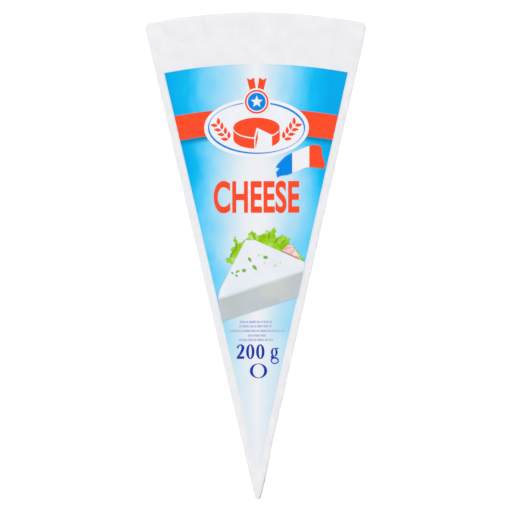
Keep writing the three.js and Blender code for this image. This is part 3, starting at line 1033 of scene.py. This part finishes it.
# %% Weight, in figures with broad uprights and hairline turns
NOUGHT = (1.44, 2.56)
NOUGHT_INSIDE = (0.52, 2.2)
NOUGHT_PLACES = [(-2.36, 50.94), (1.1, 50.94)]
TWO_FOOT = [(-7.06, 48.48), (-4.5, 48.48), (-4.44, 49.38)]
TWO_STROKE = [(-6.1, 49.28), (-5.2, 50.4), (-4.57, 51.5), (-4.4, 52.2), (-4.65, 53.0), (-5.65, 53.5),
              (-6.58, 53.1), (-7.02, 52.3), (-6.5, 52.08), (-6.3, 52.75), (-5.82, 53.13), (-5.45, 52.75),
              (-5.42, 52.0), (-5.78, 51.0), (-6.5, 49.8), (-7.06, 48.95)]
GRAM_BOWL, GRAM_LOOP = (5.92, 50.7), (6.08, 47.85)
GRAM_LINK = [(5.55, 49.5), (5.05, 49.62), (4.76, 49.22), (4.86, 48.75), (5.4, 48.5), (6.24, 48.62),
             (6.9, 48.85), (5.8, 49.1), (5.35, 49.22)]
GRAM_EAR = [(6.5, 51.85), (7.45, 51.85), (7.45, 52.22), (6.2, 52.18)]
two = TWO_FOOT + smooth_line(TWO_STROKE, 6)
noughts = [arc(*place, *size) for place in NOUGHT_PLACES for size in (NOUGHT, NOUGHT_INSIDE)]
gram = [arc(*GRAM_BOWL, 1.16, 1.5), arc(*GRAM_BOWL, 0.46, 1.24),
        arc(*GRAM_LOOP, 1.43, 1.2), arc(GRAM_LOOP[0], GRAM_LOOP[1] - 0.08, 1.0, 0.74)]
print_area("print_weight", [two] + noughts + gram, 1, navy_ink)
print_area("print_gram_joins", [smooth_line(GRAM_LINK, 5), GRAM_EAR], 2, navy_ink)
print("Figures", round(2 * NOUGHT[1], 1), "mm high")

# %% Small print, as rows of bars, and the packer's ring
LINE_ROWS = {61.2: (-5.9, 5.2), 59.7: (-6.2, 5.5), 58.1: (-9.3, 9.5), 56.5: (-3.2, 3.3), 55.0: (-6.2, 5.5)}
BAR_HEIGHT = 0.74
WORD_LENGTHS = [1.7, 0.9, 2.3, 1.2, 0.6, 1.9]
WORD_GAP = 0.28
bars = []
for row, (height, (x, row_end)) in enumerate(LINE_ROWS.items()):
    count = row
    while x < row_end - 0.5:
        bar_end = min(x + WORD_LENGTHS[count % len(WORD_LENGTHS)], row_end)
        bars.append([(x, height - BAR_HEIGHT / 2), (bar_end, height - BAR_HEIGHT / 2),
                     (bar_end, height + BAR_HEIGHT / 2), (x, height + BAR_HEIGHT / 2)])
        x = bar_end + WORD_GAP
        count += 1
print_area("print_small_lines", bars, 1, pale_ink)
RING = (0.45, 44.3)
RING_OUTSIDE, RING_INSIDE = (3.0, 2.55), (1.95, 2.35)
print_area("print_ring", [arc(*RING, *RING_OUTSIDE), arc(*RING, *RING_INSIDE)], 1, navy_ink)
print("Bars", len(bars))

# %% [markdown]
# ### The serving picture
# Below the word the label shows a point of brie on lettuce. It is drawn as a printer's illustration in a few
# flat areas: frilled leaves behind, a slice of something pink, the cheese's pale top and greyer cut side, and
# cut herbs strewn on it. The frills are a smooth outline with a ripple along it.

# %% Picture inks
lettuce_ink = ink("offset_ink_lettuce_greens", ["#84c40f", "#97cf14", "#a2d62a", "#bfe27c"], 2.6)
lettuce_dark_ink = ink("offset_ink_leaf_shade", ["#6fab1c", "#86bb22"], 2.0)
herb_ink = ink("offset_ink_herb_green", ["#55ac38", "#8cbf4c"], 1.8)
pale_herb_ink = ink("offset_ink_pale_herb", ["#cfe0a0", "#e0ebcb"], 2.0)
ham_ink = ink("offset_ink_ham_pinks", ["#f0e2ee", "#f4dcdc", "#f5a693", "#f3dfe6"], 1.6)
crust_ink = ink("offset_ink_ham_edge", ["#8f5b62", "#c98f93"], 2.4)
edge_ink = ink("offset_ink_rind_edge", ["#d3dddd", "#dbe2e6"], 6.0)
rind_ink = ink("offset_ink_rind_white", ["#e6edf1", "#ecf0f5", "#f1f2f6"], 9.0)
cut_ink = ink("offset_ink_cut_side_grey", ["#bec9c5", "#c4cacf", "#d0d2cb"], 10.0)
print("Picture inks", [m.name for m in (lettuce_ink, herb_ink, ham_ink, rind_ink, cut_ink)])

# %% Lettuce and ham
FRILL_PITCH = 1.5
FRILL_HEIGHT = 0.16


def frilled(points, phase=0.0):
    """A smooth line through the points, rippled sideways."""
    line = np.array(smooth_line(points))
    along_line = np.concatenate([[0], np.cumsum(np.linalg.norm(np.diff(line, axis=0), axis=1))])
    way = np.gradient(line, axis=0)
    outwards = np.column_stack([-way[:, 1], way[:, 0]]) / np.linalg.norm(way, axis=1)[:, None]
    turn = 2 * math.pi * along_line / FRILL_PITCH + phase
    ripple = FRILL_HEIGHT * (np.sin(turn) + 0.45 * np.sin(2.3 * turn + 1.0))
    return [(float(x), float(y)) for x, y in line + outwards * ripple[:, None]]


leaf_left = frilled([(-8.4, 81.2), (-10.2, 81.9), (-10.5, 83.2), (-8.7, 83.8), (-8.4, 85.4), (-9.1, 86.5),
                     (-7.4, 87.6), (-8.0, 89.4), (-7.5, 90.7), (-6.8, 89.3), (-6.2, 88.4), (-4.6, 89.1)])
leaf_right = frilled([(-3.2, 90.0), (-2.7, 91.8), (-1.6, 92.5), (-0.5, 91.9), (0.4, 91.1), (1.4, 91.3),
                      (2.9, 91.9), (3.4, 93.2), (4.3, 92.4), (5.1, 92.6), (5.6, 93.7), (6.8, 92.9),
                      (6.3, 91.2), (7.2, 90.3), (8.5, 91.2), (9.6, 91.0), (11.5, 89.8), (11.2, 88.3),
                      (13.2, 86.8), (15.0, 84.4), (16.5, 82.2)], 1.0)
leaf_roots = [(14.8, 81.0), (2.0, 84.0), (-5.0, 82.0)]
print_area("print_lettuce", [leaf_left + leaf_right + leaf_roots], 1, lettuce_ink)
folds = [turned(leaf(3.0, 0.7), x, y, turn) for x, y, turn in (
    (-8.7, 84.6, 70), (-7.1, 87.2, 82), (-0.9, 90.6, 110), (4.3, 91.2, 84), (6.8, 89.4, 58), (9.2, 88.9, 40))]
print_area("print_lettuce_folds", folds, 2, lettuce_dark_ink)
ham = smooth_line([(8.6, 85.4), (9.8, 87.0), (11.6, 87.9), (12.8, 87.0), (14.2, 84.8), (15.0, 82.6)], 6)
print_area("print_ham", [ham + [(15.0, 81.6), (8.6, 84.2)]], 2, ham_ink)
print_area("print_ham_edge", [[(8.8, 85.8), (14.6, 83.15), (14.6, 82.75), (8.6, 85.45)]], 3, crust_ink)
print("Lettuce outline", len(leaf_left) + len(leaf_right), "points")

# %% The cheese's top and side
TOP_FACE = [(-13.4, 69.5), (16.1, 79.0), (16.6, 81.8), (-0.6, 89.5), (-3.9, 89.5), (-12.8, 72.4)]
SIDE_FACE = [(-13.4, 69.5), (-12.1, 61.3), (14.0, 69.6), (16.1, 79.0)]
RIND_EDGE = [(-13.35, 69.5), (-13.25, 68.9), (-4.0, 71.75), (6.0, 75.0), (15.95, 78.35), (16.05, 79.0)]
print_area("print_cheese_top", [TOP_FACE], 3, rind_ink)
print_area("print_cheese_side", [SIDE_FACE], 3, cut_ink)
print_area("print_cheese_edge", [RIND_EDGE], 4, edge_ink)
print("Top face corners", len(TOP_FACE))

# %% Herbs, each as place, turn, length and width
HERBS = [(-2.4, 82.7, -60, 2.0, 1.0), (-0.7, 80.0, -50, 2.4, 1.2), (-4.4, 79.0, 10, 1.6, 1.3),
         (-6.6, 78.7, 28, 1.8, 0.7), (-8.4, 78.1, -40, 1.3, 0.6), (-7.0, 77.2, -50, 1.3, 0.7),
         (3.1, 83.5, -5, 1.8, 1.2)]
PALE_HERBS = [(0.7, 84.3, 60, 1.0, 0.8), (1.9, 84.1, -20, 0.9, 0.4), (6.4, 80.6, 25, 1.5, 0.8),
              (8.2, 81.7, 40, 1.2, 0.6), (2.7, 81.6, 90, 1.0, 0.7)]
for name, herbs, material in (
        ("print_herbs", HERBS, herb_ink), ("print_pale_herbs", PALE_HERBS, pale_herb_ink)):
    leaves = [turned(leaf(length, width), x, s, turn) for x, s, turn, length, width in herbs]
    print_area(name, leaves, 4, material)
print("Herb leaves", len(HERBS) + len(PALE_HERBS))

# %% [markdown]
# ## The label underneath
# The label that holds the folds shut is plain white paper with small print. Nothing may stand proud of it,
# because the pack rests there, so its print is in its material: rows broken into words by noise, and a block
# of upright stripes such as a till reads.

# %% Back label
BACK_ROW = 2.0  # from one row of small print to the next
BACK_WORD = 3.4
STRIPE = 0.45
STRIPES_LOW, STRIPES_HIGH = float(BACK_HIGH[1]) - 17.0, float(BACK_HIGH[1]) - 6.0
STRIPES_HALF = 8.0
STRIPES_GAP = 2.5  # between them and the small print
PRINT_MARGIN = 3.5
PRINT_POINT = 38.0  # from the tip to where the small print's own wedge would end
ROW_INK = 0.36  # of each row's pitch
WORD_SHARE = 0.44  # noise above this is a word

back_material, tree, shader = new_material("printed_back_label_paper")
place = place_in_mm(tree)
parts = add_node(tree, "ShaderNodeSeparateXYZ", {"Vector": place})
x_out = add_node(tree, "ShaderNodeMath", {0: parts.outputs["X"]}, operation="ABSOLUTE")
row_share = add_node(tree, "ShaderNodeMath", {0: parts.outputs["Y"], 1: BACK_ROW}, operation="FLOORED_MODULO")
in_row = add_node(tree, "ShaderNodeMath", {0: row_share, 1: BACK_ROW * ROW_INK}, operation="LESS_THAN")
row = add_node(tree, "ShaderNodeMath", {0: parts.outputs["Y"], 1: BACK_ROW}, operation="SNAP")
word_x = add_node(tree, "ShaderNodeMath", {0: parts.outputs["X"], 1: BACK_WORD}, operation="DIVIDE")
row_seed = add_node(tree, "ShaderNodeMath", {0: row, 1: 7.31}, operation="MULTIPLY")
word_place = add_node(tree, "ShaderNodeCombineXYZ", {"X": word_x, "Y": row_seed})
words = add_node(tree, "ShaderNodeTexNoise", {"Vector": word_place, "Scale": 3.0, "Detail": 1.0})
in_word = add_node(tree, "ShaderNodeMath", {0: words, 1: WORD_SHARE}, operation="GREATER_THAN")
at_point = -(TIP_Y + PRINT_POINT) * math.tan(HALF_ANGLE) - PRINT_MARGIN
text_half = add_node(tree, "ShaderNodeMath", {0: parts.outputs["Y"], 1: math.tan(HALF_ANGLE), 2: at_point},
                     operation="MULTIPLY_ADD")
in_margin = add_node(tree, "ShaderNodeMath", {0: x_out, 1: text_half}, operation="LESS_THAN")
below_stripes = add_node(tree, "ShaderNodeMath", {0: parts.outputs["Y"], 1: STRIPES_LOW - STRIPES_GAP},
                         operation="LESS_THAN")
lines = in_row
for also in (in_word, in_margin, below_stripes):
    lines = add_node(tree, "ShaderNodeMath", {0: lines, 1: also}, operation="MULTIPLY")
stripe_x = add_node(tree, "ShaderNodeMath", {0: parts.outputs["X"], 1: STRIPE}, operation="SNAP")
stripe_on = add_node(tree, "ShaderNodeTexWhiteNoise", {"W": stripe_x}, noise_dimensions="1D")
stripe = add_node(tree, "ShaderNodeMath", {0: stripe_on, 1: 0.5}, operation="GREATER_THAN")
stripe_middle = (STRIPES_LOW + STRIPES_HIGH) / 2
in_block_x = add_node(tree, "ShaderNodeMath", {0: x_out, 1: STRIPES_HALF}, operation="LESS_THAN")
in_block_y = add_node(tree, "ShaderNodeMath", {
    0: parts.outputs["Y"], 1: stripe_middle, 2: (STRIPES_HIGH - STRIPES_LOW) / 2}, operation="COMPARE")
block = stripe
for also in (in_block_x, in_block_y):
    block = add_node(tree, "ShaderNodeMath", {0: block, 1: also}, operation="MULTIPLY")
printed = add_node(tree, "ShaderNodeMath", {0: lines, 1: block}, operation="MAXIMUM")
colour = add_node(tree, "ShaderNodeMix", {"Factor": printed, 6: linear("#f1f1f3"), 7: linear("#26305e")},
                  data_type="RGBA")
fill(tree, shader, {"Base Color": colour.outputs[2]})
label_surface(tree, shader, place)
dress(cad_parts["back_label"], back_material)
print("Rows of small print every", BACK_ROW, "mm")

# %% [markdown]
# ## The cheese
# Nobody sees the cheese until the pack is opened. Brie has a white bloomy rind on its round faces, felted by
# the mould, with a few tan patches where it has been handled. The two cut sides show the paste, ivory and
# glossy with moisture, with small holes. The rind is as deep from every round face, so the material tests how
# near a place is to the top, the underside and the heel.

# %% Bloomy rind and paste
CHEESE_LOW, CHEESE_HIGH = [np.array(c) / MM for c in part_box("cheese_wedge")]
RIND = 1.8  # how deep it is
RIND_RAGGED = 2.2  # size of its inner edge's unevenness
RIND_BLUR = 0.8  # over this depth it turns into paste
RIND_PATCH = 9.0
FELT_SIZE = 0.8  # the mould's felt, drawn coarser than it is
HOLE_SPACING = 5.5

cheese_material, tree, shader = new_material("bloomy_rind_and_ripe_paste")
place = place_in_mm(tree)
parts = add_node(tree, "ShaderNodeSeparateXYZ", {"Vector": place})
ragged = add_node(tree, "ShaderNodeTexNoise", {"Vector": place, "Scale": 1 / RIND_RAGGED})
height = parts.outputs["Z"]
from_top = add_node(tree, "ShaderNodeMath", {0: float(CHEESE_HIGH[2]), 1: height}, operation="SUBTRACT")
from_foot = add_node(tree, "ShaderNodeMath", {0: height, 1: float(CHEESE_LOW[2])}, operation="SUBTRACT")
radius = heel_distance(tree, place)
cheese_radius = float(CHEESE_HIGH[1] - HEEL_CENTRE_Y)
from_heel = add_node(tree, "ShaderNodeMath", {0: cheese_radius, 1: radius}, operation="SUBTRACT")
nearest = from_top
for other in (from_foot, from_heel):
    nearest = add_node(tree, "ShaderNodeMath", {0: nearest, 1: other}, operation="MINIMUM")
rough_edge = add_node(tree, "ShaderNodeMath", {0: ragged, 1: nearest}, operation="ADD")
is_paste = add_node(tree, "ShaderNodeMapRange", {
    "Value": rough_edge, "From Min": RIND, "From Max": RIND + RIND_BLUR})
patch = add_node(tree, "ShaderNodeTexNoise", {"Vector": place, "Scale": 1 / RIND_PATCH, "Detail": 5.0})
rind_tone = set_ramp(add_node(tree, "ShaderNodeValToRGB", {"Fac": patch}),
                     [(0.34, "#f6f3ec"), (0.58, "#f2ecdf"), (0.72, "#dcc39a")])
paste_tone = set_ramp(add_node(tree, "ShaderNodeValToRGB", {"Fac": patch}),
                      [(0.3, "#f3e3b4"), (0.7, "#ecd494")])
tone = add_node(tree, "ShaderNodeMix", {"Factor": is_paste, 6: rind_tone, 7: paste_tone}, data_type="RGBA")
felt = add_node(tree, "ShaderNodeTexNoise", {"Vector": place, "Scale": 1 / FELT_SIZE, "Detail": 4.0})
holes = add_node(tree, "ShaderNodeTexVoronoi", {"Vector": place, "Scale": 1 / HOLE_SPACING})
hole_depth = add_node(tree, "ShaderNodeMapRange", {"Value": holes, "From Min": 0.05, "From Max": 0.16})
relief = add_node(tree, "ShaderNodeMix", {"Factor": is_paste, "A": felt, "B": hole_depth})
bumped = add_node(tree, "ShaderNodeBump", {"Height": relief, "Strength": 0.6, "Distance": 0.4 * MM})
gloss = add_node(tree, "ShaderNodeMapRange", {"Value": is_paste, "To Min": 0.95, "To Max": 0.42})
fill(tree, shader, {
    "Base Color": tone.outputs[2], "Roughness": gloss, "Normal": bumped,
    "Subsurface Weight": 0.15, "Subsurface Radius": (0.004, 0.003, 0.0015), "Subsurface Scale": 1.0})
dress(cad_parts["cheese_wedge"], cheese_material)
print("Cheese radius", round(cheese_radius, 1))
